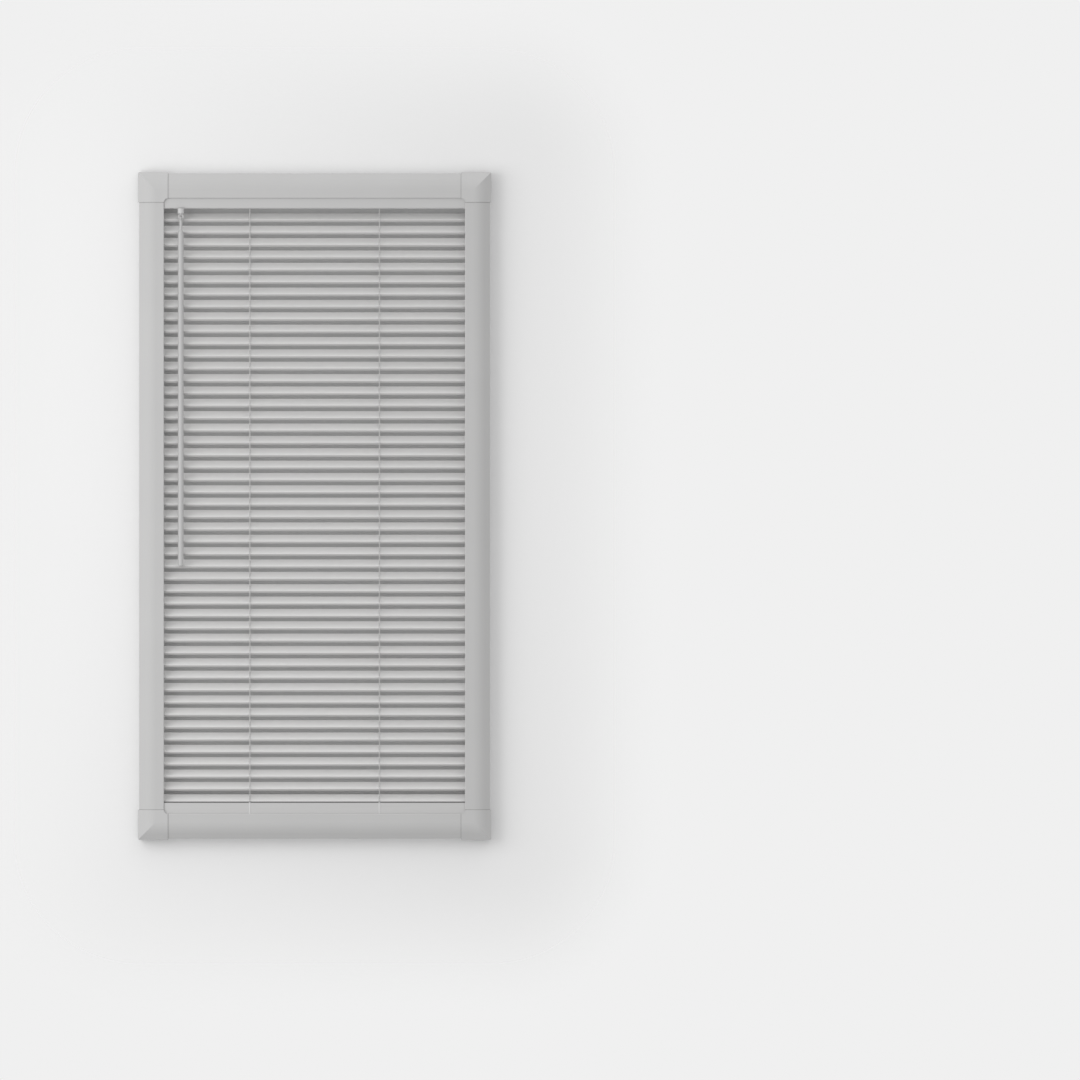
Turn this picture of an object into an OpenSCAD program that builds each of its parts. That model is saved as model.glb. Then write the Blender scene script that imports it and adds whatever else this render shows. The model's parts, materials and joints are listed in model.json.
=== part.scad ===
// Slat blind in a clip-on frame: tilting slats on string ladders, a headrail and a turning wand.
// X runs across the blind, Y from its front to its back and Z up.
// The origin is the middle of the top bar's back face.

/* [Blind] */
// Width over the corner pieces
blind_w = 600; // [420:1:900]
// Number of slats
slat_count = 48; // [12:1:48]
// Distance from one slat to the next
slat_pitch = 21; // [20:0.5:24]

/* [Slats] */
// Width of a slat
slat_w = 25; // [22:0.5:28]
// Thickness of a slat
slat_t = 5; // [4.2:0.1:6]
// Rounding of a slat's long edges
slat_edge = 2; // [1:0.1:2.1]
// Length of each slat end that is hidden behind the frame
slat_tuck = 6; // [2:0.5:12]
// Rounding of a slat's four corners
slat_corner = 3; // [1:0.5:6]
// Room between a guide cord and the ends of its slot, at the greatest angle
slot_room = 1; // [0.5:0.1:2]
// Width of the slot that a guide cord passes through
slat_slot_w = 4.5; // [3:0.1:6]
// Angle of the slats as drawn, front edges down
slat_tilt = 29; // [0:1:65]
// Greatest angle of the slats, either way from level
tilt_limit = 65; // [50:1:68]
// Room between the headrail and the first slat at its greatest angle
slat_room = 3.8; // [0.3:0.1:6]
// Room round the last slat as it turns
turn_room = 0.6; // [0.3:0.1:1.5]

/* [Frame] */
// Width of a frame bar, seen from the front
bar_w = 42.5; // [38:0.5:50]
// Width of the hollow chamber along a bar's outer side
chamber_w = 16.5; // [12:0.5:20]
// Wall of the chamber
chamber_wall = 1.6; // [1:0.1:2.4]
// Thickness of the front lip
lip_t = 2.2; // [1.6:0.1:3]
// Rounding of the lip's inner edge
lip_r = 1.8; // [0.6:0.1:2]
// Rounding of the front
crown_r = 28; // [22:0.5:34]
// Angle of the slope along the front's outer side
crown_angle = 42; // [30:1:48]
// Width of that slope
slope_w = 8.5; // [4:0.5:12]

/* [Corner pieces] */
// Length of a corner piece along each bar
corner_leg = 51; // [48:0.5:64]
// Step of a corner piece beyond the bars' outer sides
corner_proud = 2; // [0.5:0.1:3]
// Step of a corner piece in front of the bars
corner_front = 0.8; // [0.2:0.1:1.5]
// Rounding of the inner corner
corner_fillet = 6; // [1:0.5:6]
// Rounding of the outer corner
corner_round = 2.5; // [0.5:0.1:4]
// Walls between the hollows in a corner piece's back
core_wall = 2.2; // [1.6:0.1:3]
// Depth of these hollows
core_depth = 12; // [4:0.5:15]
// Length of the tongues inside the bars
tongue_l = 35; // [20:1:60]
// Room around a tongue
tongue_gap = 0.15; // [0.1:0.05:0.4]

/* [Headrail and bottom rail] */
// Height of the headrail
headrail_h = 25; // [22:0.5:27]
// Wall of the headrail
headrail_wall = 1; // [0.8:0.1:1.4]
// Width of the hems along the headrail's open top
headrail_hem = 3; // [1:0.5:5]
// Outer rounding of the headrail's lower edges
headrail_r = 1.5; // [1.5:0.1:3]
// Strip of the headrail that shows under the top bar
headrail_show = 17; // [10:0.5:24]
// Room between the headrail and the lip
headrail_gap = 0.5; // [0.3:0.1:2]
// Room between the headrail and the blind's back plane
headrail_back = 0.5; // [0.2:0.1:2]
// Height of the bottom rail
rail_h = 36; // [30:0.5:40]
// Strip of the bottom rail that shows above the bottom bar
rail_show = 19.8; // [14:0.1:26]
// Depth of the bottom rail's upper edge under the last slat's axis
rail_drop = 5.4; // [4:0.1:12]
// Rounding of the bottom rail's edges
rail_r = 2; // [0.5:0.1:2.5]
// Room beside a string in the bottom rail's grooves
groove_gap = 1; // [0.4:0.1:2]

/* [Ladders and cords] */
// Distance of each ladder from the frame's inner edge
ladder_in = 145.5; // [110:0.5:150]
// Diameter of a ladder's string
string_d = 1.2; // [0.8:0.1:1.6]
// Room between a string and the slats' edges
string_gap = 0.3; // [0.2:0.05:0.6]
// Length of string that stays in the headrail and behind the bottom bar
string_hide = 1.75; // [1:0.05:3]
// Diameter of a guide cord
cord_d = 1.4; // [1:0.1:2]

/* [Tilter] */
// Distance of the wand from the frame's inner edge
wand_in = 28.5; // [22:0.5:60]
// Length of the wand, under its ring
wand_l = 587; // [200:1:700]
// Diameter of the wand
wand_d = 9.6; // [7:0.1:10]
// Rounding of the wand's foot
wand_foot_r = 2; // [0.5:0.1:3]
// Diameter of the wand's neck
neck_d = 5; // [4:0.1:6.5]
// Length of the wand's neck
neck_l = 16; // [8:0.5:30]
// Length of the slope from the neck to the wand
shoulder_l = 3; // [1:0.5:8]
// Diameter of the stem
stem_d = 4; // [3:0.1:5]
// Length of the stem inside the outlet
stem_l = 7; // [4:0.1:8]
// Diameter of the outlet, which carries the stem under the headrail
outlet_d = 10.6; // [9.8:0.1:11.4]
// Height of the outlet
outlet_h = 8.8; // [8.5:0.1:10]
// Thickness of the arm that holds the outlet
arm_t = 3; // [2:0.1:4]
// Diameter of the neck from the arm into the headrail
arm_neck_d = 6; // [4:0.1:7]
// Diameter of the eye at the foot of the stem
eye_d = 9.6; // [9:0.1:10]
// Thickness of the eye
eye_t = 3; // [2:0.1:4]
// Diameter of the hole in the eye
eye_hole_d = 4.2; // [3.8:0.1:4.6]
// Thickness of the ring's wire
ring_wire = 1.8; // [1.2:0.1:2]
// Room between the wand's pieces and their neighbours
wand_gap = 0.4; // [0.3:0.05:1]
// Width of the six-sided tilt shaft over its corners
shaft_d = 6.4; // [5:0.1:6.6]
// Diameter of the round sleeve on the shaft, in the housing
sleeve_d = 7; // [6.8:0.1:9]
// Diameter of the drum over each ladder
drum_d = 8.4; // [7:0.1:9]
// Length of a drum
drum_l = 16; // [14:0.5:24]
// Length of a cradle along the shaft
cradle_l = 12; // [8:0.5:13]
// Height of a cradle's bridge over the drum
cradle_top = 1.6; // [1:0.1:3]
// Length of the housing along the shaft
housing_l = 36; // [24:1:44]
// Running room of the shaft and the stem
bearing_gap = 0.05; // [0.02:0.01:0.1]

/* [Hidden] */
$fn = 64;
slat_color = "#d9d8d4";
bar_color = "#d4d4d2";
corner_color = "#cfcfcd";
rail_color = "#d6d5d1";
cord_color = "#e3e2de";
wand_color = "#dcdcda";
steel_color = "#9a9b9d";

// Swing of a slat: the strings keep to points of its middle plane that turn on this radius
edge_r = slat_w / 2 - slat_edge;
edge_rise = edge_r * sin(tilt_limit);
first_drop = edge_rise + slat_t / 2 + slat_room;
turn_r = norm([edge_r, slat_t / 2 - slat_edge]) + slat_edge + turn_room;

// Depths from the blind's back plane to the front. The headrail is as deep as its slots for the strings
string_off = slat_t / 2 + string_gap + string_d / 2;
slot_reach = edge_r + string_off + string_d / 2 + string_gap;
axis_v = headrail_back + headrail_r + slot_reach;
headrail_v = axis_v + slot_reach + headrail_r;
lip_v = headrail_v + headrail_gap;
bar_d = lip_v + lip_t;
wand_v = axis_v + slat_w / 2 + wand_gap + max(outlet_d, eye_d, wand_d) / 2;
neck_v = headrail_v - headrail_r - 2 * wand_gap - arm_neck_d / 2;
crown_w = slope_w + crown_r * sin(crown_angle);
// The slope takes this much off the round, so that they meet in a faint crease
slope_cut = 0.02;
// Clear depth between the strings, for what stands between them
core_gap = 0.5;
core_d = 2 * (edge_r * cos(tilt_limit) + string_off - string_d / 2 - core_gap);

// Heights, from the top down
bar_top_z = chamber_w / 2;
open_top_z = bar_top_z - bar_w;
headrail_z = open_top_z - headrail_show;
floor_z = headrail_z + headrail_wall;
shaft_z = headrail_z + headrail_h / 2;
function slat_z(k) = headrail_z - first_drop - (k - 1) * slat_pitch;
rail_top_z = slat_z(slat_count) - rail_drop;
rail_floor_z = slat_z(slat_count) - turn_r;
open_foot_z = rail_top_z - rail_show;
bar_foot_z = open_foot_z - bar_w;
middle_z = (bar_top_z + bar_foot_z) / 2;
outlet_z = headrail_z - outlet_h;
eye_z = outlet_z - wand_gap - eye_d / 2;

// Lengths
bar_x = blind_w / 2 - corner_proud;
open_x = bar_x - bar_w;
ladder_x = open_x - ladder_in;
wand_x = open_x - wand_in;
cross_l = blind_w - 2 * corner_leg;
side_l = bar_top_z - bar_foot_z + 2 * corner_proud - 2 * corner_leg;
leg_in = corner_leg - corner_proud;
slat_l = 2 * (open_x + slat_tuck);
rail_l = 2 * (bar_x - chamber_w);
headrail_slot_w = cord_d + 2 * string_gap;
slat_slot_l = slat_t * tan(tilt_limit) + cord_d / cos(tilt_limit) + 2 * slot_room;
shaft_end = 6;
pocket_w = chamber_w + corner_proud - 2 * core_wall;
pocket_l = (corner_leg - pocket_w - 4 * core_wall) / 2;

// The ring runs round the web of the eye, under its hole
web_h = (eye_d - eye_hole_d) / 2;
ring_r = norm([eye_t, web_h]) / 2 + string_gap + ring_wire / 2;
ring_z = eye_z - (eye_d + eye_hole_d) / 4;

function slat_name(k) = str("slat_", k < 10 ? "0" : "", k);

// Outlines

module rounded_outline(l, w, r) {
    square([l - 2 * r, w], center = true);
    square([l, w - 2 * r], center = true);
    for (x = [-1, 1], y = [-1, 1]) translate([x * (l / 2 - r), y * (w / 2 - r)]) circle(r);
}

module long_hole(l, w) {
    square([w, l - w], center = true);
    for (y = [-1, 1]) translate([0, y * (l - w) / 2]) circle(w / 2);
}

// All that lies behind the frame's front: a slope along the outer side, a round and a flat to the opening.
// In the frame's outlines the first axis runs inwards from a bar's outer side, the second to the front.
module behind_front(inset) {
    r = crown_r - inset;
    cut = [crown_w, bar_d - crown_r] + (r - slope_cut) * [-sin(crown_angle), cos(crown_angle)];
    out = cut[0] + 2 * corner_proud;
    in = bar_w + corner_leg;
    intersection() {
        polygon([[cut[0] - out, 0], cut - out * [1, tan(crown_angle)],
                 cut + in * [1, tan(crown_angle)], [cut[0] + in, 0]]);
        union() {
            translate([-2 * corner_proud, 0]) square([out, 2 * bar_d]);
            translate([crown_w, bar_d - crown_r]) circle(r, $fn = 180);
            translate([crown_w, 0]) square([in, bar_d - inset]);
        }
    }
}

module chamber_outline(inset) {
    intersection() {
        translate([inset, inset]) square([chamber_w - 2 * inset, bar_d]);
        behind_front(inset);
    }
}

module bar_outline() {
    difference() {
        intersection() {
            square([bar_w, bar_d]);
            behind_front(0);
        }
        chamber_outline(chamber_wall);
        translate([chamber_w, -lip_t]) square([bar_w, lip_v + lip_t]);
        translate([bar_w - lip_r, bar_d - lip_r]) difference() {
            square(2 * lip_r);
            circle(lip_r);
        }
    }
}

module corner_outline() {
    intersection() {
        translate([-corner_proud, 0]) square([corner_leg, bar_d + corner_front]);
        behind_front(-corner_front);
    }
}

// Runs of an outline, down along a side bar or to the right along the top bar
module run_down(l) rotate([180, 0, 0]) linear_extrude(l) children();

module run_across(l) translate([l, 0, 0]) rotate([180, 90, 0]) linear_extrude(l) children();

// An outline in Y and Z, carried along X
module along_x(l) rotate([90, 0, 90]) linear_extrude(l, center = true) children();

// Frame

module frame_bars() color(bar_color) {
    translate([-cross_l / 2, 0, bar_top_z]) run_across(cross_l) bar_outline();
    translate([-cross_l / 2, 0, bar_foot_z]) mirror([0, 0, 1]) run_across(cross_l) bar_outline();
    for (side = [0, 1]) mirror([side, 0, 0])
        translate([-bar_x, 0, middle_z + side_l / 2]) run_down(side_l) bar_outline();
}

// The opening's corner, with a round inside
module corner_opening() {
    intersection() {
        translate([bar_w, bar_w]) square(corner_leg);
        union() {
            translate([bar_w + corner_fillet, bar_w + corner_fillet]) circle(corner_fillet);
            translate([bar_w + corner_fillet, bar_w]) square(corner_leg);
            translate([bar_w, bar_w + corner_fillet]) square(corner_leg);
        }
    }
}

// A corner piece seen from the front, with its outer corner rounded
module corner_plan() {
    inside = corner_round - corner_proud;
    translate([inside, inside]) circle(corner_round);
    translate([inside, -corner_proud]) square(corner_leg);
    translate([-corner_proud, inside]) square(corner_leg);
}

// Hollows in a corner piece's back: one in the corner and two along each leg
module corner_hollows() {
    step = pocket_l + core_wall;
    edge = core_wall - corner_proud;
    translate([edge, edge]) square(pocket_w);
    for (k = [0, 1]) {
        translate([edge + pocket_w + core_wall + k * step, edge]) square([pocket_l, pocket_w]);
        translate([edge, edge + pocket_w + core_wall + k * step]) square([pocket_w, pocket_l]);
    }
}

// Top left corner piece, from the point where the bars' outer sides would meet
module corner_piece() {
    difference() {
        intersection() {
            translate([0, 0, corner_proud]) run_down(corner_leg) corner_outline();
            translate([-corner_proud, 0, 0]) run_across(corner_leg) corner_outline();
            rotate([-90, 0, 0]) linear_extrude(4 * bar_d, center = true) corner_plan();
        }
        rotate([-90, 0, 0]) linear_extrude(2 * core_depth, center = true) corner_hollows();
        translate([chamber_w, -lip_v, -chamber_w - corner_leg]) cube([corner_leg, bar_d, corner_leg]);
        rotate([-90, 0, 0]) linear_extrude(4 * bar_d, center = true) corner_opening();
    }
    translate([0, 0, -leg_in]) run_down(tongue_l) chamber_outline(chamber_wall + tongue_gap);
    translate([leg_in, 0, 0]) run_across(tongue_l) chamber_outline(chamber_wall + tongue_gap);
}

module corner_pieces() color(corner_color)
    for (side = [0, 1], foot = [0, 1])
        translate([0, 0, middle_z]) mirror([side, 0, 0]) mirror([0, 0, foot])
            translate([-bar_x, 0, bar_top_z - middle_z]) corner_piece();

// Headrail and bottom rail

module headrail_outline(inset) {
    d = headrail_v - headrail_back - 2 * inset;
    translate([-(headrail_v + headrail_back) / 2, headrail_z + headrail_h / 2])
        rounded_outline(d, headrail_h - 2 * inset, headrail_r - inset);
}

module headrail_slots() {
    for (side = [-1, 1]) translate([side * ladder_x, -axis_v, headrail_z])
        linear_extrude(4 * headrail_wall, center = true) long_hole(2 * slot_reach, headrail_slot_w);
    translate([-wand_x, -neck_v, headrail_z])
        cylinder(h = 4 * headrail_wall, d = arm_neck_d + 2 * wand_gap, center = true);
}

module headrail() color(bar_color) difference() {
    along_x(rail_l) difference() {
        headrail_outline(0);
        headrail_outline(headrail_wall);
        translate([headrail_hem - headrail_v, shaft_z])
            square([headrail_v - headrail_back - 2 * headrail_hem, headrail_h]);
    }
    headrail_slots();
}

// The bottom rail, with a rebate in which the last slat turns
module rail_outline() {
    rear_v = axis_v - core_d / 2;
    difference() {
        translate([-(headrail_v + rear_v) / 2, rail_top_z - rail_h / 2])
            rounded_outline(headrail_v - rear_v, rail_h, rail_r);
        translate([-axis_v - turn_r, rail_floor_z]) square([2 * turn_r + core_d, turn_r]);
    }
}

module bottom_rail() color(rail_color) difference() {
    groove_w = string_d + 2 * groove_gap;
    groove_v = axis_v + core_d / 2;
    along_x(rail_l) rail_outline();
    for (side = [-1, 1])
        translate([side * ladder_x - groove_w / 2, -groove_v - headrail_v, rail_top_z - 2 * rail_h])
            cube([groove_w, headrail_v, 4 * rail_h]);
}

// Slats

module slat(k) color(slat_color)
    translate([0, -axis_v, slat_z(k)]) rotate([slat_tilt, 0, 0]) difference() {
        intersection() {
            along_x(slat_l) rounded_outline(slat_w, slat_t, slat_edge);
            linear_extrude(2 * slat_t, center = true) rounded_outline(slat_l, slat_w, slat_corner);
        }
        for (side = [-1, 1]) translate([side * ladder_x, 0, 0])
            linear_extrude(2 * slat_t, center = true) long_hole(slat_slot_l, slat_slot_w);
    }

// Ladders and cords

// A pair of strings in front of the slats' edges (-1) or behind them (1)
module ladder(face) color(cord_color) {
    y = face * (edge_r * cos(slat_tilt) + string_off);
    top = headrail_z + string_hide + edge_rise + face * edge_r * sin(slat_tilt);
    foot = bar_foot_z + chamber_w + core_gap + edge_rise + face * edge_r * sin(slat_tilt);
    for (side = [-1, 1]) translate([side * ladder_x, y - axis_v, foot])
        cylinder(h = top - foot, d = string_d);
}

module ladder_front() ladder(-1);

module ladder_rear() ladder(1);

module guide_cords() color(cord_color)
    for (side = [-1, 1]) translate([side * ladder_x, -axis_v, rail_floor_z])
        cylinder(h = floor_z - rail_floor_z, d = cord_d);

// Tilter

module shaft_cradles() color(wand_color)
    for (side = [-1, 1]) translate([side * ladder_x, -axis_v, 0]) difference() {
        translate([-cradle_l / 2, -core_d / 2, floor_z])
            cube([cradle_l, core_d, shaft_z - floor_z + drum_d / 2 + bearing_gap + cradle_top]);
        translate([0, 0, shaft_z]) rotate([0, 90, 0])
            cylinder(h = 2 * cradle_l, d = drum_d + 2 * bearing_gap, center = true);
    }

// The outlet that carries the stem in front of the slats, on an arm whose neck goes up through the headrail
module stem_outlet() {
    arm_rear_v = neck_v - arm_neck_d / 2;
    translate([-wand_x, -wand_v, outlet_z]) cylinder(h = outlet_h, d = outlet_d);
    translate([-wand_x - outlet_d / 2, -wand_v, headrail_z - arm_t])
        cube([outlet_d, wand_v - arm_rear_v, arm_t]);
    translate([-wand_x, -neck_v, headrail_z - arm_t])
        cylinder(h = arm_t + 2 * headrail_wall, d = arm_neck_d);
}

module tilter_housing() color(wand_color) difference() {
    room_y = headrail_v - headrail_back - 2 * headrail_wall - 2 * tongue_gap;
    union() {
        translate([-wand_x - housing_l / 2, -headrail_v + headrail_wall + tongue_gap, floor_z])
            cube([housing_l, room_y, headrail_h - 2 * headrail_wall - 1]);
        stem_outlet();
    }
    translate([-wand_x, -axis_v, shaft_z]) rotate([0, 90, 0])
        cylinder(h = 2 * housing_l, d = sleeve_d + 2 * bearing_gap, center = true);
    translate([-wand_x, -wand_v, outlet_z - outlet_h])
        cylinder(h = outlet_h + stem_l + string_gap, d = stem_d + 2 * bearing_gap);
}

module tilt_shaft() color(steel_color) {
    left = -wand_x - housing_l / 2 - shaft_end;
    right = ladder_x + drum_l / 2 + shaft_end;
    translate([0, -axis_v, shaft_z]) {
        translate([left, 0, 0]) rotate([0, 90, 0]) cylinder(h = right - left, d = shaft_d, $fn = 6);
        for (side = [-1, 1]) translate([side * ladder_x, 0, 0]) rotate([0, 90, 0])
            cylinder(h = drum_l, d = drum_d, center = true);
        translate([-wand_x, 0, 0]) rotate([0, 90, 0]) cylinder(h = housing_l, d = sleeve_d, center = true);
    }
}

module tilter_stem() color(wand_color) translate([-wand_x, -wand_v, 0]) {
    stem_foot_z = eye_z + (eye_d + eye_hole_d) / 4;
    translate([0, 0, stem_foot_z]) cylinder(h = outlet_z + stem_l - stem_foot_z, d = stem_d);
    translate([0, 0, eye_z]) rotate([90, 0, 0]) difference() {
        cylinder(h = eye_t, d = eye_d, center = true);
        cylinder(h = 2 * eye_t, d = eye_hole_d, center = true);
    }
}

// Half of the wand's outline, from the top of its neck down
module wand_outline() {
    foot = wand_foot_r - wand_l;
    translate([0, -neck_l]) square([neck_d / 2, neck_l]);
    polygon([[0, -neck_l], [neck_d / 2, -neck_l],
             [wand_d / 2, -neck_l - shoulder_l], [0, -neck_l - shoulder_l]]);
    translate([0, foot]) square([wand_d / 2, wand_l - wand_foot_r - neck_l - shoulder_l]);
    translate([0, -wand_l]) square([wand_d / 2 - wand_foot_r, wand_foot_r]);
    translate([wand_d / 2 - wand_foot_r, foot]) circle(wand_foot_r);
}

module tilt_wand() color(wand_color) translate([-wand_x, -wand_v, ring_z]) {
    rotate([0, 90, 0]) rotate_extrude() translate([ring_r, 0]) circle(d = ring_wire);
    translate([0, 0, -ring_r]) rotate_extrude() wand_outline();
}

frame_bars();
corner_pieces();
headrail();
bottom_rail();
shaft_cradles();
tilter_housing();
tilt_shaft();
tilter_stem();
tilt_wand();
ladder_front();
ladder_rear();
guide_cords();
for (k = [1:slat_count]) slat(k);
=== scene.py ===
import json

import bpy
import numpy as np
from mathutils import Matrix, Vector


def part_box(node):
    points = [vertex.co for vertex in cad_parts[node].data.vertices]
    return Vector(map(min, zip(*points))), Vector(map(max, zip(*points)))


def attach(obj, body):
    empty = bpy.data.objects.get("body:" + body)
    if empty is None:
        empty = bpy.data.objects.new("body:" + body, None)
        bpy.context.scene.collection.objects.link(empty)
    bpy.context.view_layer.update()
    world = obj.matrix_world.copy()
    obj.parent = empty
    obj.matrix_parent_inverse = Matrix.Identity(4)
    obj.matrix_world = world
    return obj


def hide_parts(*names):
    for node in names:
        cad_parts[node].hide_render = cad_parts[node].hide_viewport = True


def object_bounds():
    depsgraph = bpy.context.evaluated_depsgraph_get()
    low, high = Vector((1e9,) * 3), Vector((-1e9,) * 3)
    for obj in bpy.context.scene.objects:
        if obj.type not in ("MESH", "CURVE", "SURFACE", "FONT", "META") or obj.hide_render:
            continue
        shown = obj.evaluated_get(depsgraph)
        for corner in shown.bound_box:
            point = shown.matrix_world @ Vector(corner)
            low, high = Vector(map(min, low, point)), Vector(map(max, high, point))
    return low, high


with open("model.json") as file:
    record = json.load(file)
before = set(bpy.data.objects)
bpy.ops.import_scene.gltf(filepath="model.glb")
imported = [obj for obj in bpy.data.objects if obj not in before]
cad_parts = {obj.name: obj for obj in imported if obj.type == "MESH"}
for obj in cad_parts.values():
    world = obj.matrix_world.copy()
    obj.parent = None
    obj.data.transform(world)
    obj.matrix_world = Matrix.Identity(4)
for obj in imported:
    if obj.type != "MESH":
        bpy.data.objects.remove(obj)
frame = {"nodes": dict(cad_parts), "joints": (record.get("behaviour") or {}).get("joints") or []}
cad_low, cad_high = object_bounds()

# Frame bars
# Four hollow aluminium bars, extruded with a lip towards the opening and sawn square at both ends.
# They are pushed onto the corner pieces' tongues, and a thin dark line of painted shade runs along those
# joints. Their light grey powder coat has an orange peel.


class Value:
    """One shader socket. Operators on Values add Math nodes, and node() adds a node of any other kind."""

    def __init__(self, tree, socket):
        self.tree = tree
        self.socket = socket

    def node(self, kind, settings, sockets, out=0):
        """Adds a node of that kind, sets its settings, then its sockets, and gives one of its outputs."""
        made = self.tree.nodes.new(kind)
        for name, setting in settings.items():
            setattr(made, name, setting)
        for key, value in sockets.items():
            if isinstance(value, Value):
                self.tree.links.new(value.socket, made.inputs[key])
            else:
                made.inputs[key].default_value = value
        return Value(self.tree, made.outputs[out])

    def math(self, operation, other=0.0):
        return self.node("ShaderNodeMath", {"operation": operation}, {0: self, 1: other})

    def __add__(self, other):
        return self.math("ADD", other)

    def __sub__(self, other):
        return self.math("SUBTRACT", other)

    def __mul__(self, other):
        return self.math("MULTIPLY", other)

    def __rsub__(self, other):
        return self.node("ShaderNodeMath", {"operation": "SUBTRACT"}, {0: other, 1: self})

    __radd__ = __add__
    __rmul__ = __mul__

    def part(self, axis):
        """One coordinate of a place: 0 for X, 1 for Y, 2 for Z."""
        return self.node("ShaderNodeSeparateXYZ", {}, {0: self}, axis)

    def noise(self, cells, detail=2.0):
        """Soft noise from 0 to 1, with that many cells in a metre along X, Y and Z."""
        place = self.node("ShaderNodeVectorMath", {"operation": "MULTIPLY"}, {0: self, 1: cells})
        return self.node("ShaderNodeTexNoise", {}, {"Vector": place, "Scale": 1.0, "Detail": detail})

    def step(self, start, end):
        """A smooth step from 0 at start to 1 at end."""
        return self.node(
            "ShaderNodeMapRange",
            {"interpolation_type": "SMOOTHSTEP"},
            {"Value": self, "From Min": start, "From Max": end},
        )

    def mix(self, first, second):
        """The first colour where this value is 0, and the second where it is 1."""
        return self.node("ShaderNodeMix", {"data_type": "RGBA"}, {0: self, 6: first, 7: second}, 2)

    def bump(self, depth):
        """The normal of a surface on which a height of 1 stands depth metres above 0."""
        return self.node("ShaderNodeBump", {}, {"Height": self, "Distance": depth})

    def into(self, shader, name):
        self.tree.links.new(self.socket, shader.inputs[name])


def new_finish(name, **constants):
    """A new material, its shader with those constant sockets set, and the Object coordinates as a Value."""
    material = bpy.data.materials.new(name)
    material.use_nodes = True
    tree = material.node_tree
    shader = tree.nodes["Principled BSDF"]
    for socket, constant in constants.items():
        shader.inputs[socket.replace("_", " ")].default_value = constant
    return material, shader, Value(tree, tree.nodes.new("ShaderNodeTexCoord").outputs["Object"])


def grey(level, warmth=0.0):
    """A linear grey, warmer where red is raised and blue is lowered by the same share."""
    return (level * (1 + warmth), level, level * (1 - warmth), 1.0)


def paint_node(name, material):
    """Puts a finish on a solid of the frame, which keeps its place and its mesh."""
    mesh = frame["nodes"][name].data
    mesh.materials.clear()
    mesh.materials.append(material)


def powder_coat(side_bars_from, middle_z, joint_x, joint_z, joint_shade_width):
    """Orange peel of about a millimetre over faint lines along each bar, in a slowly changing tone. The
    lines run along X on the cross bars, and along Z on the side bars, past side_bars_from. The bars end
    at joint_x and joint_z from their middles, and painted shade darkens the tone over joint_shade_width
    there, in place of the shadow in the joints."""
    material, shader, place = new_finish("powder_coat", Specular_IOR_Level=0.2)
    upright = place.part(0).math("ABSOLUTE").math("GREATER_THAN", side_bars_from)
    along_cells, line_cells, cloud_cells, peel_cells = 3.0, 650.0, 11.0, 850.0
    peel_depth = 1.2e-5
    across_lines = place.noise((along_cells, line_cells, line_cells))
    upright_lines = place.noise((line_cells, line_cells, along_cells))
    lines = across_lines + upright * (upright_lines - across_lines)
    cloud = place.noise((cloud_cells,) * 3, 3.0)
    peel = place.noise((peel_cells,) * 3)
    across_end = joint_x - place.part(0).math("ABSOLUTE")
    upright_end = joint_z - (place.part(2) - middle_z).math("ABSOLUTE")
    # Painted shade: the tone falls to a dark grey within joint_shade_width of the corner pieces, for the
    # shadow in the joint.
    dust = 1 - (across_end + upright * (upright_end - across_end)).step(0.0, joint_shade_width)
    coat = (0.7 * cloud + 0.3 * lines).mix(grey(0.513, 0.004), grey(0.553, 0.004))
    dust.mix(coat, grey(0.16, 0.03)).into(shader, "Base Color")
    (0.46 + 0.16 * cloud + 0.06 * peel).into(shader, "Roughness")
    (peel + 0.35 * lines).bump(peel_depth).into(shader, "Normal")
    return material


corner_low, corner_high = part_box("corner_pieces")
corner_leg = 0.051
bar_paint = powder_coat(
    side_bars_from=0.25,
    middle_z=(corner_low.z + corner_high.z) / 2,
    joint_x=(corner_high.x - corner_low.x) / 2 - corner_leg,
    joint_z=(corner_high.z - corner_low.z) / 2 - corner_leg,
    joint_shade_width=0.001,
)
paint_node("frame_bars", bar_paint)

# Corner pieces
# Four pieces moulded in matt plastic, mitred over the bars' rounded front and a little proud of them.
# Each has two tongues that push into the bars' chambers, and a spark-eroded grain from its mould.


def moulded_plastic(name, level, roughness, grain_cells, grain_depth, **constants):
    """An even mould grain, flow marks some centimetres long, and a gloss that changes with them."""
    material, shader, place = new_finish(name, **constants)
    flow_cells = (45.0, 45.0, 18.0)
    spread, warmth = 0.045, 0.003
    grain = place.noise((grain_cells,) * 3, 3.0)
    flow = place.noise(flow_cells, 3.0)
    shade = 0.75 * flow + 0.25 * grain
    tone = shade.mix(grey((1 - spread) * level, warmth), grey((1 + spread) * level, warmth))
    tone.into(shader, "Base Color")
    (roughness - 0.07 + 0.1 * flow + 0.05 * grain).into(shader, "Roughness")
    grain.bump(grain_depth).into(shader, "Normal")
    return material


corner_plastic = moulded_plastic(
    "corner_plastic",
    level=0.54,
    roughness=0.55,
    grain_cells=1900.0,
    grain_depth=1.4e-5,
    Specular_IOR_Level=0.2,
)
paint_node("corner_pieces", corner_plastic)

# Headrail
# A channel rolled from thin steel strip, with hems along its open top and slots for the ladders.
# It lies behind the top bar's lip, and its satin paint shows the lines of the rolls along its length.


def rolled_steel_paint():
    """Roll lines along X, a fine peel across them, and a satin gloss."""
    material, shader, place = new_finish("rolled_steel_paint", Specular_IOR_Level=0.45)
    line_cells, cloud_cells, peel_cells = (2.0, 420.0, 420.0), (14.0, 30.0, 30.0), (1100.0,) * 3
    roll_depth = 9e-6
    lines = place.noise(line_cells, 3.0)
    peel = place.noise(peel_cells)
    cloud = place.noise(cloud_cells, 2.0)
    (0.5 * lines + 0.5 * cloud).mix(grey(0.51, 0.004), grey(0.55, 0.004)).into(shader, "Base Color")
    (0.3 + 0.12 * cloud + 0.08 * peel).into(shader, "Roughness")
    (0.6 * lines + 0.4 * peel).bump(roll_depth).into(shader, "Normal")
    return material


paint_node("headrail", rolled_steel_paint())

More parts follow.
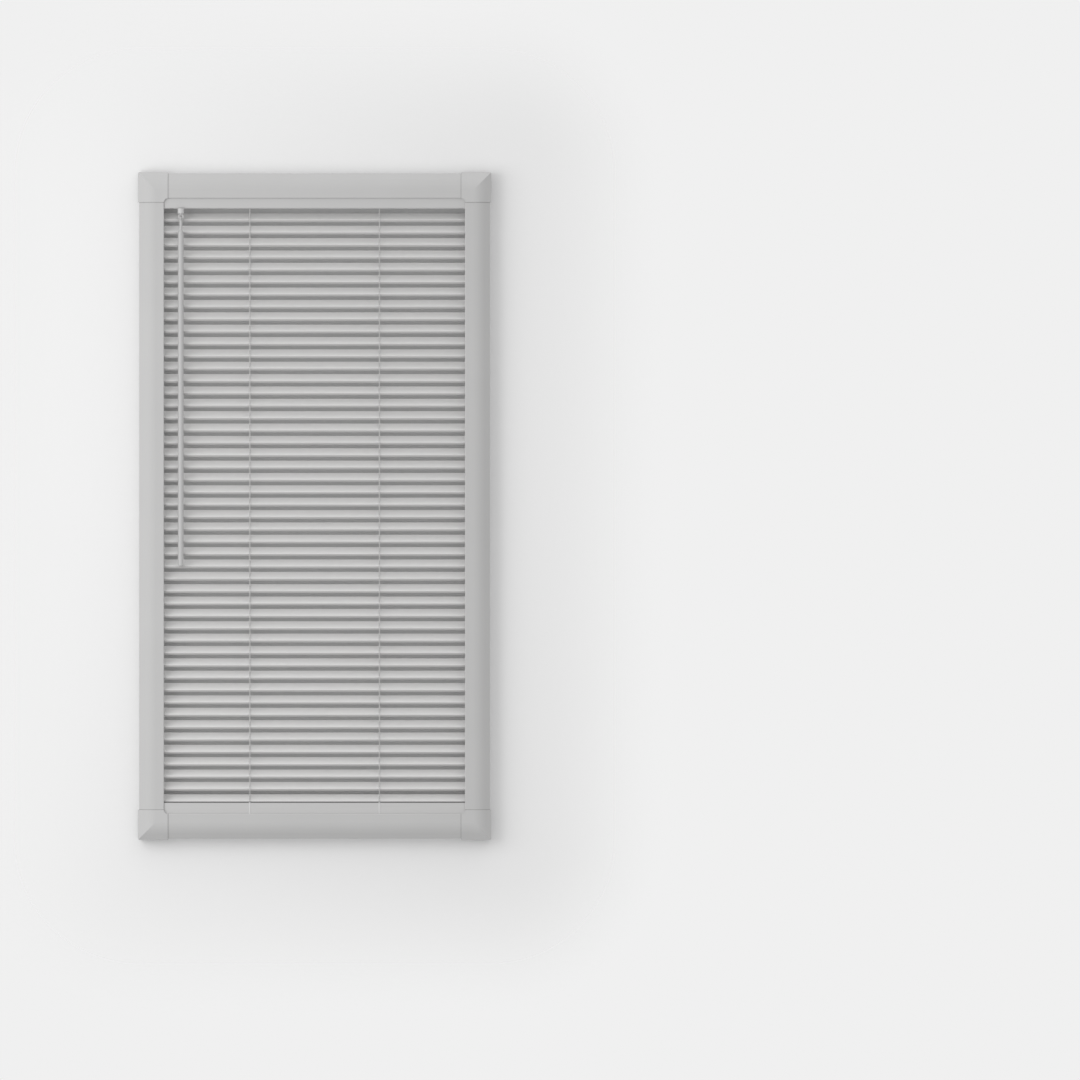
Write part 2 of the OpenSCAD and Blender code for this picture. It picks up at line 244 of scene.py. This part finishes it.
# Cradles and tilter housing
# Two cradles carry the tilt shaft over the ladders, and a closed gear housing at the left end drives it.
# All are moulded in tough, slightly glossy plastic and sit on the headrail's floor. The housing's outlet
# goes down through that floor and carries the wand's stem in front of the slats.

gear_plastic = moulded_plastic(
    "gear_plastic",
    level=0.55,
    roughness=0.42,
    grain_cells=1400.0,
    grain_depth=8e-6,
    Specular_IOR_Level=0.5,
)
paint_node("shaft_cradles", gear_plastic)
paint_node("tilter_housing", gear_plastic)

# Tilt shaft
# A six-sided steel rod, drawn to size, with a drum over each ladder and a round sleeve in the housing.
# Drawing leaves bright fine lines along it.


def drawn_steel():
    """Bare steel: lines along X that change its gloss, under a dull film in patches."""
    material, shader, place = new_finish("drawn_steel", Metallic=1.0)
    line_cells, film_cells = (6.0, 2400.0, 2400.0), (35.0, 60.0, 60.0)
    line_depth = 6e-6
    lines = place.noise(line_cells, 3.0)
    film = place.noise(film_cells, 3.0).step(0.45, 0.7)
    film.mix(grey(0.56, -0.01), grey(0.44, 0.02)).into(shader, "Base Color")
    (0.22 + 0.18 * lines + 0.16 * film).into(shader, "Roughness")
    lines.bump(line_depth).into(shader, "Normal")
    return material


paint_node("tilt_shaft", drawn_steel())

# Tilter stem and wand
# The stem turns in the housing's outlet, which reaches out under the headrail, and ends in an eye. The
# wand hangs in the eye by a ring: a round stick with a slim neck, moulded in satin plastic.

wand_plastic = moulded_plastic(
    "wand_plastic",
    level=0.475,
    roughness=0.34,
    grain_cells=700.0,
    grain_depth=6e-6,
    Specular_IOR_Level=0.5,
)
paint_node("tilter_stem", wand_plastic)
paint_node("tilt_wand", wand_plastic)

# Slats
# Forty-eight strips of light wood with rounded edges, sanded and sprayed light grey. Each rests on the
# ladders' rungs, with a slot at each ladder for the guide cord, and the grain shows through the paint.
# The long edges are painted a darker grey, as painted shade on their rounded faces.


def painted_wood(name, level, tone_cells, edge_way, edge_shade_level, edge_start, edge_end):
    """Grain along X: long soft bands, narrow pores that dent the paint, and a tone that changes from
    piece to piece by tone_cells in a metre. Where the surface faces edge_way or away from it, the paint
    goes over to edge_shade_level as painted shade, as a smooth step of the cosine between them from
    edge_start to edge_end."""
    material, shader, place = new_finish(name, Specular_IOR_Level=0.35)
    band_cells, pore_cells = (5.0, 240.0, 240.0), (28.0, 1700.0, 1700.0)
    pore_depth = 2.2e-5
    bands = place.noise(band_cells, 3.0)
    pores = place.noise(pore_cells).step(0.56, 0.72)
    tone = place.noise((0.6, 0.0, tone_cells))
    facing = Value(place.tree, place.socket.node.outputs["Normal"])
    dot_product = {"operation": "DOT_PRODUCT"}
    cosine = place.node("ShaderNodeVectorMath", dot_product, {0: facing, 1: edge_way}, "Value")
    # Painted shade: faces turned towards edge_way or away from it are darkened towards edge_shade_level.
    edge = cosine.math("ABSOLUTE").step(edge_start, edge_end)
    shade = 0.45 * tone + 0.55 * bands - 0.22 * pores
    face_coat = shade.mix(grey(0.93 * level, 0.008), grey(1.06 * level, 0.004))
    edge_shade_coat = shade.mix(grey(0.9 * edge_shade_level, 0.012), grey(1.08 * edge_shade_level, 0.008))
    edge.mix(face_coat, edge_shade_coat).into(shader, "Base Color")
    (0.42 + 0.16 * bands + 0.12 * pores).into(shader, "Roughness")
    (0.5 * bands - pores).bump(pore_depth).into(shader, "Normal")
    return material


hinges = {joint["child"]: Vector(joint["pos_m"]) for joint in frame["joints"]}
edge_offset = hinges["ladder_front"] - hinges["slat_01"]
to_front_edge = edge_offset.normalized()
slat_joints = [joint for joint in frame["joints"] if joint["child"].startswith("slat_")]
slat_paint = painted_wood(
    "slat_paint",
    level=0.72,
    tone_cells=37.0,
    edge_way=to_front_edge,
    edge_shade_level=0.47,
    edge_start=0.35,
    edge_end=0.9,
)
for joint in slat_joints:
    paint_node(joint["child"], slat_paint)

# Ladder strings
# Each ladder is two thin braided strings, one in front of the slats' edges and one behind them. They
# hang from the tilt shaft's drums and end behind the bottom bar, so they rise and fall as the slats turn.


def braided_line(x, y, foot, top, radius, strands, lay, dent, around=12, rings_per_lay=8):
    """Grid of a twisted line along Z: its radius falls by dent of itself between the strands, as the
    cosine of half their number times the angle does, and the whole turns once in each lay of height."""
    rings = int(np.ceil((top - foot) / lay * rings_per_lay)) + 1
    height = np.linspace(foot, top, rings)[:, None]
    angle = np.linspace(0, 2 * np.pi, around, endpoint=False)[None, :]
    reach = radius * (1 - dent + dent * np.abs(np.cos(strands / 2 * angle)))
    turned = angle + 2 * np.pi * (height - foot) / lay
    return np.stack([x + reach * np.cos(turned), y + reach * np.sin(turned), height + 0 * angle], axis=-1)


def tube_piece(name, grids, material, closed=False):
    """One piece from grids of points, rings by points round a ring. Quads join each ring to the next.
    A flat face covers each end, or the last ring joins the first where the tube is closed. The UV map
    runs once round, and along by the ring's number."""
    points, faces, corners = [], [], []
    base = 0
    for grid in grids:
        rings, around = grid.shape[:2]
        bands = rings if closed else rings - 1
        ring, place = np.meshgrid(np.arange(bands), np.arange(around), indexing="ij")
        ring, place = ring.ravel(), place.ravel()
        after, above = (place + 1) % around, (ring + 1) % rings
        quads = np.stack([ring * around + place, ring * around + after,
                          above * around + after, above * around + place], axis=-1)
        ends = [] if closed else [np.arange(around)[::-1], np.arange(around) + (rings - 1) * around]
        points.append(grid.reshape(-1, 3))
        faces += (quads + base).tolist() + [(end + base).tolist() for end in ends]
        across = np.stack([place, place + 1, place + 1, place], axis=-1) / around
        along = np.stack([ring, ring, ring + 1, ring + 1], axis=-1)
        corners.append(np.stack([across, along], axis=-1).reshape(-1, 2))
        corners.append(np.zeros((len(ends) * around, 2)))
        base += rings * around
    mesh = bpy.data.meshes.new(name)
    mesh.from_pydata(np.concatenate(points), [], faces)
    mesh.polygons.foreach_set("use_smooth", np.ones(len(faces), bool))
    mesh.uv_layers.new(name="along").data.foreach_set("uv", np.concatenate(corners).ravel())
    mesh.materials.append(material)
    piece = bpy.data.objects.new(name, mesh)
    bpy.context.scene.collection.objects.link(piece)
    return piece


def braided_polyester():
    """Fibres along each strand, on the piece's own UV map, and a little dust between them."""
    material, shader, place = new_finish("braided_polyester", Specular_IOR_Level=0.3, Sheen_Weight=0.25)
    along = place.node("ShaderNodeUVMap", {"uv_map": "along"}, {})
    fibre_cells, dust_cells = (40.0, 1.5, 1.0), (60.0, 60.0, 25.0)
    fibre_depth = 3e-5
    fibres = along.noise(fibre_cells, 3.0)
    dust = place.noise(dust_cells, 3.0)
    (0.6 * fibres + 0.4 * dust).mix(grey(0.56, 0.01), grey(0.7, 0.006)).into(shader, "Base Color")
    (0.68 + 0.2 * fibres).into(shader, "Roughness")
    fibres.bump(fibre_depth).into(shader, "Normal")
    return material


string_yarn = braided_polyester()
string_strands, string_lay, string_dent = 4, 0.0075, 0.22
for node in ("ladder_front", "ladder_rear"):
    low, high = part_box(node)
    string_radius = (high.y - low.y) / 2
    ladder_places = (low.x + string_radius, high.x - string_radius)
    string_y = (low.y + high.y) / 2
    strings = [
        braided_line(x, string_y, low.z, high.z, string_radius, string_strands, string_lay, string_dent)
        for x in ladder_places
    ]
    piece = tube_piece(node + "_strings", strings, string_yarn)
    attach(piece, node)
    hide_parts(node)

# Rungs
# Two thin threads tie each pair of strings together under every slat and carry it. They are knotted
# into the strings at the slat's rounded edges, so they lie close round those edges at any tilt.


def threads_under(
    axis, front_edge, slat_thickness, slat_edge, places, gap, thread_radius, wrap, steps=4, around=5
):
    """Grids of threads across a slat: up over its rear edge, a straight run under it and up over its
    front edge, each a circle carried along that path. At an edge the path is a quarter circle from below,
    the edge's flat, and then wrap of the upper circle, with slat_edge and half a thread as the radius."""
    out = np.subtract(front_edge, axis)
    reach = np.linalg.norm(out)
    out /= reach
    up = np.cross(out, (1.0, 0.0, 0.0))
    bend = slat_edge + thread_radius
    half_flat = slat_thickness / 2 - slat_edge
    turn = np.concatenate([np.linspace(-np.pi / 2, 0, steps), np.linspace(0, wrap, steps)])
    centre = np.repeat([-half_flat, half_flat], steps)
    front = np.stack([reach + bend * np.cos(turn), centre + bend * np.sin(turn)], axis=-1)
    rear = front[::-1] * (-1, 1)
    run_out = np.linspace(-reach, reach, steps)[1:-1]
    run = np.stack([run_out, np.full(steps - 2, -half_flat - bend)], axis=-1)
    flat = np.concatenate([rear, run, front])
    path = np.array(axis) + flat[:, :1] * out + flat[:, 1:] * up
    tangent = np.gradient(path, axis=0)
    tangent /= np.linalg.norm(tangent, axis=1, keepdims=True)
    side = np.array([1.0, 0.0, 0.0])
    lift = np.cross(tangent, side)
    angle = np.linspace(0, 2 * np.pi, around, endpoint=False)[None, :, None]
    ring = path[:, None] + thread_radius * (np.cos(angle) * side + np.sin(angle) * lift[:, None])
    return [ring + (x + offset, 0, 0) for x in places for offset in (-gap / 2, gap / 2)]


slat_thickness = 0.005
slat_edge = 0.002
thread_radius = 0.00025
thread_gap = 0.0024
thread_wrap = np.radians(65)
for joint in slat_joints:
    axis = Vector(joint["pos_m"])
    threads = threads_under(
        axis,
        axis + edge_offset,
        slat_thickness,
        slat_edge,
        ladder_places,
        thread_gap,
        thread_radius,
        thread_wrap,
    )
    piece = tube_piece(joint["child"].replace("slat", "rungs"), threads, string_yarn)
    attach(piece, joint["child"])

# Slot eyelets
# A light plastic eyelet lines each slot, so that the wood doesn't wear the guide cord. Its thin barrel is
# pressed in from above, and a flat flange lies on the slat round the slot.


def eyelet(axis, out, x, profile, around=16):
    """Closed grid of an eyelet. Each row of profile gives one ring's half-width, half-length and height
    over the slat's middle. A ring is a long round: two half circles of the half-width, drawn apart along
    out until they reach the half-length."""
    half_width, half_length, height = (column[:, None] for column in np.array(profile).T)
    angle = np.linspace(0, 2 * np.pi, around, endpoint=False)[None, :]
    apart = (half_length - half_width) * np.sign(np.round(np.sin(angle), 6))
    across = x + half_width * np.cos(angle)
    along = apart + half_width * np.sin(angle)
    up = np.cross(out, (1.0, 0.0, 0.0))
    places = across[..., None] * np.array((1.0, 0.0, 0.0)) + along[..., None] * np.array(out)
    return np.array(axis) + places + height[..., None] * up


# From the foot of the bore up, out over the flange, and down the barrel again.
eyelet_profile = [
    (0.00095, 0.00735, -0.0024),
    (0.00095, 0.00735, 0.00245),
    (0.0012, 0.0076, 0.00265),
    (0.0026, 0.00835, 0.00265),
    (0.00275, 0.0085, 0.00252),
    (0.0022, 0.00797, 0.00245),
    (0.0022, 0.00797, -0.0024),
]
eyelet_plastic = moulded_plastic(
    "eyelet_plastic",
    level=0.7,
    roughness=0.4,
    grain_cells=1400.0,
    grain_depth=4e-6,
    Specular_IOR_Level=0.45,
)
for joint in slat_joints:
    eyelets = [eyelet(joint["pos_m"], to_front_edge, x, eyelet_profile) for x in ladder_places]
    piece = tube_piece(joint["child"].replace("slat", "eyelets"), eyelets, eyelet_plastic, closed=True)
    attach(piece, joint["child"])

# Guide cords
# A round cord runs through the slots of all the slats, from the headrail's floor to the bottom rail.
# It is braided from polyester, a little thicker than the strings, and holds the slats in line.

low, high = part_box("guide_cords")
cord_radius = (high.y - low.y) / 2
cord_y = (low.y + high.y) / 2
cord_strands, cord_lay, cord_dent = 6, 0.009, 0.16
cords = [
    braided_line(x, cord_y, low.z, high.z, cord_radius, cord_strands, cord_lay, cord_dent)
    for x in (low.x + cord_radius, high.x - cord_radius)
]
piece = tube_piece("guide_cords_braided", cords, string_yarn)
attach(piece, "frame")
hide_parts("guide_cords")

# Bottom rail
# A bar of the slats' wood behind the bottom bar's lip, planed with a rebate in which the last slat turns
# and a groove for each front string, and painted with the slats. The rebate, the edge over it and all its
# faces that turn up or down are painted near black as painted shade. The rail is held in the side bars'
# channels.

# Painted shade: faces turned up or down go over to near black, for the shadow gap under the last slat.
rail_paint = painted_wood(
    "rail_paint",
    level=0.545,
    tone_cells=4.0,
    edge_way=(0.0, 0.0, 1.0),
    edge_shade_level=0.1,
    edge_start=0.1,
    edge_end=0.5,
)
paint_node("bottom_rail", rail_paint)

# Groove strips
# A light plastic strip closes each groove of the bottom rail over the ladder's front string. It is pressed
# in from the front, with a round face that stands a hair proud of the wood, and its ends are domed.


def groove_strip(x, front, depth, foot, top, width, crown):
    """Grid of a strip along Z. Its section has a flat back, depth behind the front, and a front that bulges
    by crown as a cosine does. Each end closes in a quarter circle, where a ring's size is the sine of its
    turn, and the size is full between the ends."""
    end_rings, points_across, least_size = 6, 9, 0.02
    turn = np.linspace(0, np.pi / 2, end_rings)
    size = np.concatenate([np.sin(turn), np.sin(turn[::-1])])
    size = np.maximum(size, least_size)[:, None]
    rise = width / 2 * (1 - np.cos(turn))
    height = np.concatenate([foot + rise, top - rise[::-1]])[:, None]
    across = np.linspace(-1, 1, points_across)
    outline_x = np.concatenate([across, across[::-1]]) * width / 2
    outline_y = np.concatenate([-crown * np.cos(across * np.pi / 2), np.full(points_across, depth)])
    return np.stack([x + size * outline_x, front + size * outline_y, height + 0 * outline_x], axis=-1)


strip_width, strip_depth, strip_crown = 0.003, 0.0013, 0.0003
strip_over_foot, strip_under_top = 0.002, 0.0004
rail_low, rail_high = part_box("bottom_rail")
strip_foot, strip_top = rail_low.z + strip_over_foot, rail_high.z - strip_under_top
strip_plastic = moulded_plastic(
    "strip_plastic",
    level=0.62,
    roughness=0.4,
    grain_cells=1400.0,
    grain_depth=5e-6,
    Specular_IOR_Level=0.5,
)
strips = [
    groove_strip(x, rail_low.y, strip_depth, strip_foot, strip_top, strip_width, strip_crown)
    for x in ladder_places
]
piece = tube_piece("groove_strips", strips, strip_plastic)
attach(piece, "frame")

# Camera
# It stands far off and level, square to the blind's face, with the blind left of the picture's middle.

picture_px = 1080
blind_px = 353.4
blind_middle_px = (314.5, 506.0)
camera_distance = 40.0
sensor_mm = 36.0
metres_per_px = (cad_high.x - cad_low.x) / blind_px
camera = bpy.data.objects.new("camera", bpy.data.cameras.new("camera"))
bpy.context.scene.collection.objects.link(camera)
bpy.context.scene.camera = camera
camera.data.sensor_width = sensor_mm
camera.data.lens = sensor_mm * camera_distance / (picture_px * metres_per_px)
blind_middle = (cad_low + cad_high) / 2
camera.location = (
    blind_middle.x + (picture_px / 2 - blind_middle_px[0]) * metres_per_px,
    cad_low.y - camera_distance,
    blind_middle.z - (picture_px / 2 - blind_middle_px[1]) * metres_per_px,
)
camera.rotation_euler = (np.pi / 2, 0.0, 0.0)

# Light
# Soft daylight from all round, brighter from above and from below than from the sides, and one large
# round soft lamp in front at the left. What looks past the blind meets an even pale grey.

backdrop_level = 0.871
daylight_level = 0.608
daylight_rise = 0.38
daylight_ends = 0.66
lamp_level = 1.27
lamp_from = Vector((-0.684, -0.7225, 0.1)).normalized()
lamp_distance = 2.6
lamp_across = 2.4
scene = bpy.context.scene
scene.view_settings.view_transform = "Standard"
world = bpy.data.worlds.new("daylight")
world.use_nodes = True
scene.world = world
sky = world.node_tree
sky.nodes["Background"].inputs["Color"].default_value = grey(1.0)


def seen_rays(tree):
    """1 for rays from the camera, a reflection or a clear surface, and 0 for rays that carry light."""
    paths = Value(tree, tree.nodes.new("ShaderNodeLightPath").outputs["Is Camera Ray"])
    outputs = paths.socket.node.outputs
    for name in ("Is Glossy Ray", "Is Transmission Ray"):
        paths = paths.math("MAXIMUM", Value(tree, outputs[name]))
    return paths


seen = seen_rays(sky)
direction = Value(sky, sky.nodes.new("ShaderNodeTexCoord").outputs["Generated"])
height = direction.part(2)
daylight = daylight_level * (1 + daylight_rise * height + daylight_ends * height * height)
(daylight + (backdrop_level - daylight) * seen).into(sky.nodes["Background"], "Strength")
lamp = bpy.data.objects.new("lamp", bpy.data.lights.new("lamp", "AREA"))
lamp.data.shape = "DISK"
lamp.data.size = lamp_across
lamp.data.energy = lamp_level * np.pi * lamp_distance**2
lamp.location = blind_middle + lamp_distance * lamp_from
lamp.rotation_mode = "QUATERNION"
lamp.rotation_quaternion = lamp_from.to_track_quat("Z", "Y")
lamp.visible_camera = False
scene.collection.objects.link(lamp)

# Wall, backing and floor
# A plain pale wall behind the blind and a pale floor below it, which take its shadow, and a grey
# backing across the frame's opening, a sheet that stands in for the shaded pane behind the slats and is
# partly painted shade. They show from the front only and fade out into the even pale grey.


def stage_finish(name, level, fade_start, fade_end):
    """Matt and plain where the camera sees its front, and clear to all other rays and from behind. It
    fades out from fade_start to fade_end metres outside the blind's outline."""
    material = bpy.data.materials.new(name)
    material.use_nodes = True
    tree = material.node_tree
    tree.nodes.remove(tree.nodes["Principled BSDF"])
    place = Value(tree, tree.nodes.new("ShaderNodeTexCoord").outputs["Object"])
    half = (cad_high - cad_low) / 2
    beyond_x, beyond_y, beyond_z = (
        ((place.part(axis) - blind_middle[axis]).math("ABSOLUTE") - half[axis]).math("MAXIMUM", 0.0)
        for axis in range(3)
    )
    beyond = (beyond_x * beyond_x + beyond_y * beyond_y + beyond_z * beyond_z).math("SQRT")
    camera_ray = Value(tree, tree.nodes.new("ShaderNodeLightPath").outputs["Is Camera Ray"])
    behind = Value(tree, tree.nodes.new("ShaderNodeNewGeometry").outputs["Backfacing"])
    shown = camera_ray * (1 - behind) * (1 - beyond.step(fade_start, fade_end))
    clear = place.node("ShaderNodeBsdfTransparent", {}, {})
    matt = place.node("ShaderNodeBsdfDiffuse", {}, {"Color": grey(level)})
    surface = place.node("ShaderNodeMixShader", {}, {0: shown, 1: clear, 2: matt})
    surface.into(tree.nodes["Material Output"], "Surface")
    return material


def stage_plane(name, corner, across, up, material):
    """A flat stage from one corner: its points are corner plus shares of across and up."""
    points_along = 9
    share = np.linspace(0, 1, points_along)
    s, t = np.meshgrid(share, share, indexing="ij")
    points = np.array(corner) + s[..., None] * np.array(across) + t[..., None] * np.array(up)
    index = np.arange(points.size // 3).reshape(s.shape)
    quads = np.stack([index[:-1, :-1], index[1:, :-1], index[1:, 1:], index[:-1, 1:]], axis=-1)
    mesh = bpy.data.meshes.new(name)
    mesh.from_pydata(points.reshape(-1, 3), [], quads.reshape(-1, 4).tolist())
    mesh.materials.append(material)
    piece = bpy.data.objects.new(name, mesh)
    scene.collection.objects.link(piece)


wall_y = 0.006
backing_y = 0.003
floor_z = -1.7
wall_reach = 1.5
# Partly painted shade: the backing's grey is kept dark so that the gaps between the slats look shaded.
backing_shade_level = 0.46
bar_low, bar_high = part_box("frame_bars")
stage_plane(
    "wall",
    corner=(blind_middle.x - wall_reach, wall_y, blind_middle.z - wall_reach),
    across=(2 * wall_reach, 0, 0),
    up=(0, 0, 2 * wall_reach),
    material=stage_finish("wall_paint", backdrop_level, fade_start=0.04, fade_end=0.3),
)
stage_plane(
    "backing",
    corner=(bar_low.x, backing_y, bar_low.z),
    across=(bar_high.x - bar_low.x, 0, 0),
    up=(0, 0, bar_high.z - bar_low.z),
    material=stage_finish("backing_grey", backing_shade_level, fade_start=0.25, fade_end=0.7),
)
stage_plane(
    "floor",
    corner=(blind_middle.x - wall_reach, -wall_reach, floor_z),
    across=(2 * wall_reach, 0, 0),
    up=(0, 2 * wall_reach, 0),
    material=stage_finish("floor_paint", backdrop_level, fade_start=0.6, fade_end=1.2),
)
